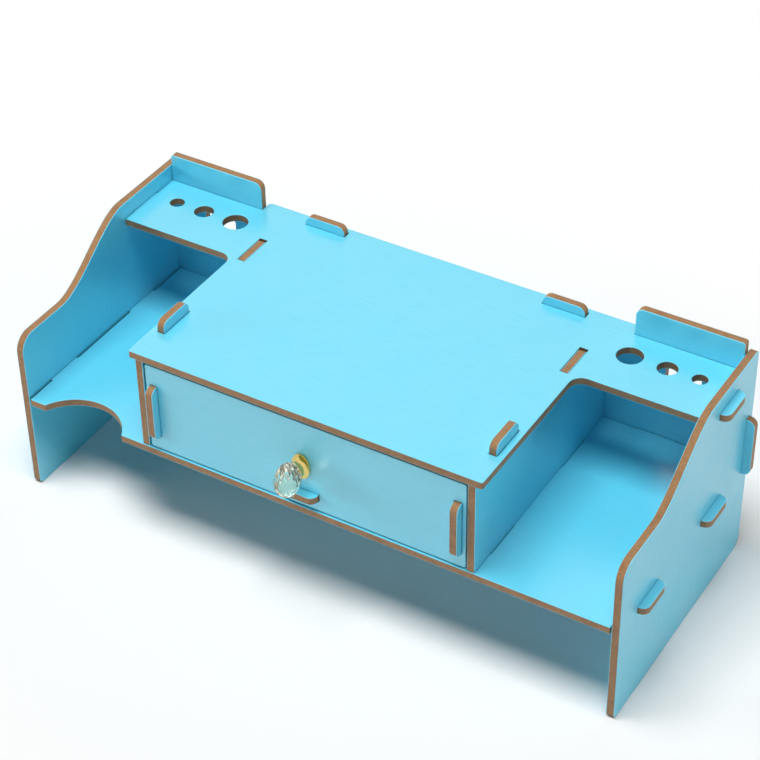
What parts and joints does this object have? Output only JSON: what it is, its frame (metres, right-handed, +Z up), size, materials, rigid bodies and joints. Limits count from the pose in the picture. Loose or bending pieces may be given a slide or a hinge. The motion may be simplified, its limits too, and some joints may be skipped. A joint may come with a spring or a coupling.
{
  "type": "monitor stand with drawer",
  "caption": "Slotted-board monitor riser with curved side panels, a T-shaped top with pen holes, a low shelf with a cup notch and a central drawer with a glass knob.",
  "frame": {"origin": "on the surface that the stand rests on, in the middle of its bounding box, tabs and knob included", "axes": "+X along the stand towards its right panel, +Y from the drawer's front to the back panel, +Z up"},
  "size_m": [0.493, 0.2266, 0.184],
  "materials": {
    "laminated_board": "glossy light blue laminate on fibreboard, with bare brown cut edges",
    "gold": "polished gold plate",
    "crystal": "clear faceted glass",
    "steel": "zinc-plated"
  },
  "bodies": {
    "stand": {"side_panel_left": "laminated_board", "side_panel_right": "laminated_board", "shelf": "laminated_board", "top_board": "laminated_board", "back_panel": "laminated_board", "divider_left": "laminated_board", "divider_right": "laminated_board"},
    "drawer": {"drawer_front": "laminated_board", "drawer_side_left": "laminated_board", "drawer_side_right": "laminated_board", "drawer_bottom": "laminated_board", "drawer_back": "laminated_board", "knob_base": "gold", "knob_crystal": "crystal", "knob_screw": "steel", "knob_washer": "steel"}
  },
  "joints": [
    {"name": "drawer_slide", "type": "slide", "parent": "stand", "child": "drawer", "axis": [0, -1, 0], "range_m": [0, 0.14]}
  ]
}
